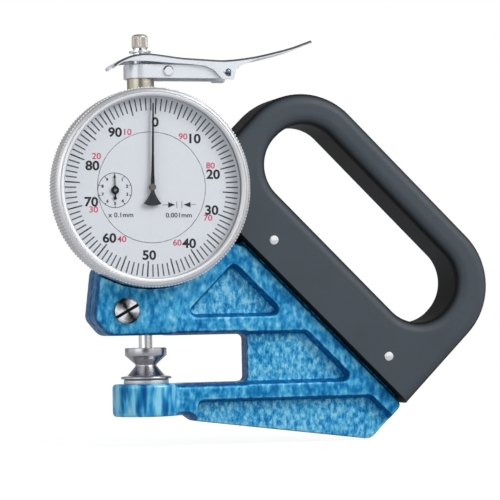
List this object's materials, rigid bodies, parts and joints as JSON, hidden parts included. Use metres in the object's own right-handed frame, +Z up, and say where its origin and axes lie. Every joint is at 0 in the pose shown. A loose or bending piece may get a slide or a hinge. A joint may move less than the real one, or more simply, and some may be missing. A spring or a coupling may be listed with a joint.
{
  "type": "dial thickness gauge",
  "caption": "Hand-held dial thickness gauge with a blue hammered C-frame, black loop grip, lift lever, lift knob and a turning bezel round a white dial.",
  "frame": {"origin": "middle of the flat underside of the boss that holds the anvil, on the spindle's axis", "axes": "+Z up along the spindle, +X towards the grip, and the dial faces -Y"},
  "size_m": [0.1334, 0.025, 0.1205],
  "materials": {
    "hammered_blue": "hammered gloss",
    "black_moulding": "satin",
    "bright_steel": "polished",
    "ground_steel": "ground",
    "satin_silver": "satin",
    "brass": "satin",
    "dial_paint": "matt",
    "hand_black": "matt",
    "crystal_clear": "clear"
  },
  "bodies": {
    "frame": {"frame_casting": "hammered_blue", "handle_grip": "black_moulding", "handle_pin_upper": "bright_steel", "handle_pin_lower": "bright_steel", "fixed_anvil": "ground_steel", "stem_clamp_screw": "ground_steel", "case_body": "satin_silver", "case_cover": "satin_silver", "cover_screw_1": "ground_steel", "cover_screw_2": "ground_steel", "cover_screw_3": "ground_steel", "cover_screw_4": "ground_steel", "stem": "satin_silver", "top_bush": "brass", "dial_centre": "dial_paint", "front_plate": "brass", "rear_plate": "brass", "plate_pillar_1": "brass", "plate_pillar_2": "brass", "plate_pillar_3": "brass", "plate_pillar_4": "brass", "train_bridge": "brass", "return_spring": "ground_steel", "lever_bracket": "bright_steel", "bracket_screw": "bright_steel", "bracket_nut": "ground_steel", "lever_pin": "ground_steel"},
    "centre_hand": {"centre_arbor": "ground_steel", "pointer": "hand_black"},
    "small_hand": {"second_arbor": "ground_steel", "second_wheel": "brass", "small_pointer": "hand_black"},
    "rack_gear": {"rack_arbor": "ground_steel", "rack_wheel": "brass"},
    "spindle_set": {"spindle": "bright_steel", "contact_tip": "ground_steel", "spring_collar": "brass", "guide_pin": "ground_steel", "lift_washer": "bright_steel", "lift_knob": "ground_steel"},
    "lever": {"lift_lever": "bright_steel"},
    "outer_bezel": {"bezel": "satin_silver", "crystal": "crystal_clear", "dial_ring": "dial_paint"}
  },
  "joints": [
    {"name": "pointer_turn", "type": "hinge", "parent": "frame", "child": "centre_hand", "pos_m": [0, 0, 0.0663], "axis": [0, 1, 0], "range_deg": [0, 4325]},
    {"name": "small_pointer_turn", "type": "hinge", "parent": "frame", "child": "small_hand", "pos_m": [-0.01097, 0, 0.06549], "axis": [0, 1, 0], "range_deg": [-432.5, 0]},
    {"name": "rack_gear_turn", "type": "hinge", "parent": "frame", "child": "rack_gear", "pos_m": [0.00279, 0, 0.06203], "axis": [0, 1, 0], "range_deg": [0, 43.3]},
    {"name": "spindle_slide", "type": "slide", "parent": "frame", "child": "spindle_set", "axis": [0, 0, 1], "range_m": [0, 0.0012], "stiffness_N_per_m": 100, "springref_m": -0.004, "deforming": ["return_spring"]},
    {"name": "lever_lift", "type": "hinge", "parent": "frame", "child": "lever", "pos_m": [0.0252, 0, 0.1007], "axis": [0, 1, 0], "range_deg": [0, 2.8]},
    {"name": "bezel_turn", "type": "hinge", "parent": "frame", "child": "outer_bezel", "pos_m": [0, 0, 0.0663], "axis": [0, 1, 0], "continuous": true}
  ],
  "couplings": [
    {"joint": "pointer_turn", "follows": "spindle_slide", "rad_per_m": 62832},
    {"joint": "small_pointer_turn", "follows": "spindle_slide", "rad_per_m": -6283.2},
    {"joint": "rack_gear_turn", "follows": "spindle_slide", "rad_per_m": 628.32},
    {"joint": "lever_lift", "follows": "spindle_slide", "rad_per_m": 39.683}
  ]
}
